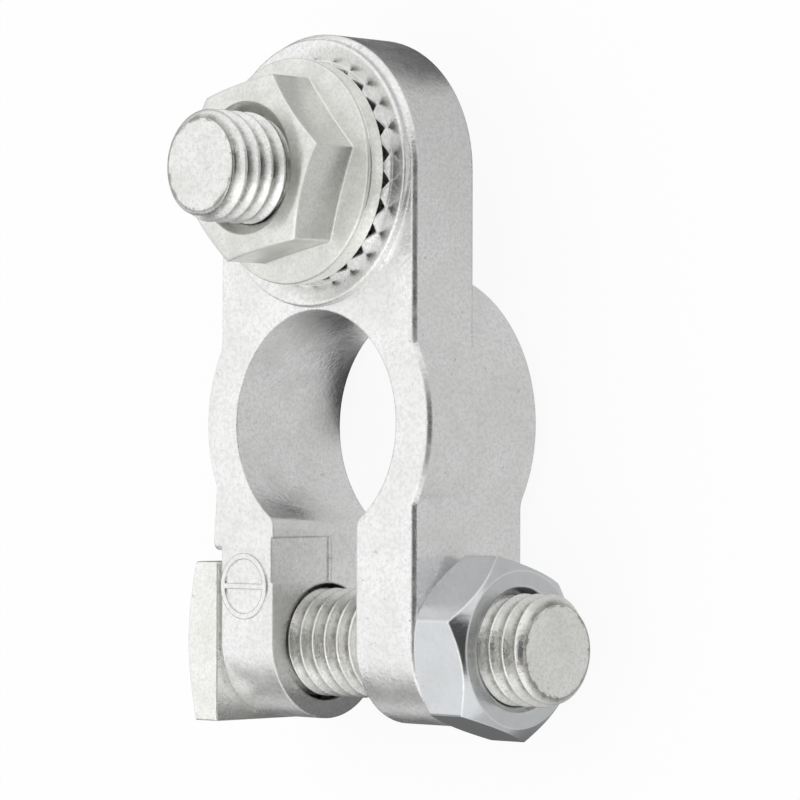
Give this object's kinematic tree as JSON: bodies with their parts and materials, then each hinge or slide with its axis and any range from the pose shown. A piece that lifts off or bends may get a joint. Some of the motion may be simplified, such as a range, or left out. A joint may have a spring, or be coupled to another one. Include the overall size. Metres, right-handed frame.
{
  "type": "battery terminal clamp",
  "caption": "Split cast clamp for a car battery's negative post, closed by a cross bolt with a nut, with a threaded cable stud, washer and flange nut on a serrated tab.",
  "frame": {"origin": "on the axis of the post bore, in the plane of the ring's underside", "axes": "+Z along the bore axis towards the face that carries the stud, +Y from the bore towards the cable stud, +X along the clamp bolt towards its nut"},
  "size_m": [0.0317, 0.0505, 0.0237],
  "materials": {
    "casting": "satin tin plate over a casting",
    "bolt_steel": "bright zinc plate",
    "nut_steel": "bright zinc plate",
    "stud_steel": "bright zinc plate",
    "washer_steel": "bright zinc plate",
    "flange_nut_steel": "bright zinc plate"
  },
  "bodies": {
    "casting": {"clamp_body": "casting", "cable_stud": "stud_steel"},
    "bolt": {"clamp_bolt": "bolt_steel"},
    "bolt_nut": {"clamp_nut": "nut_steel"},
    "washer": {"stud_washer": "washer_steel"},
    "stud_nut": {"flange_nut": "flange_nut_steel"}
  },
  "joints": [
    {"name": "clamp_nut_turn", "type": "hinge", "parent": "casting", "child": "bolt_nut", "pos_m": [0.0125, -0.0159, 0.00562], "axis": [1, 0, 0], "range_deg": [0, 1440]},
    {"name": "clamp_bolt_slide", "type": "slide", "parent": "casting", "child": "bolt", "axis": [-1, 0, 0], "range_m": [0, 0.005]},
    {"name": "washer_rise", "type": "slide", "parent": "casting", "child": "washer", "axis": [0, 0, 1], "range_m": [0, 0.005]},
    {"name": "flange_nut_turn", "type": "hinge", "parent": "washer", "child": "stud_nut", "pos_m": [0, 0.018, 0.0137], "axis": [0, 0, 1], "range_deg": [0, 1440]}
  ],
  "couplings": [
    {"joint": "clamp_nut_turn", "follows": "clamp_bolt_slide", "rad_per_m": 5026.5},
    {"joint": "flange_nut_turn", "follows": "washer_rise", "rad_per_m": 5026.5}
  ]
}
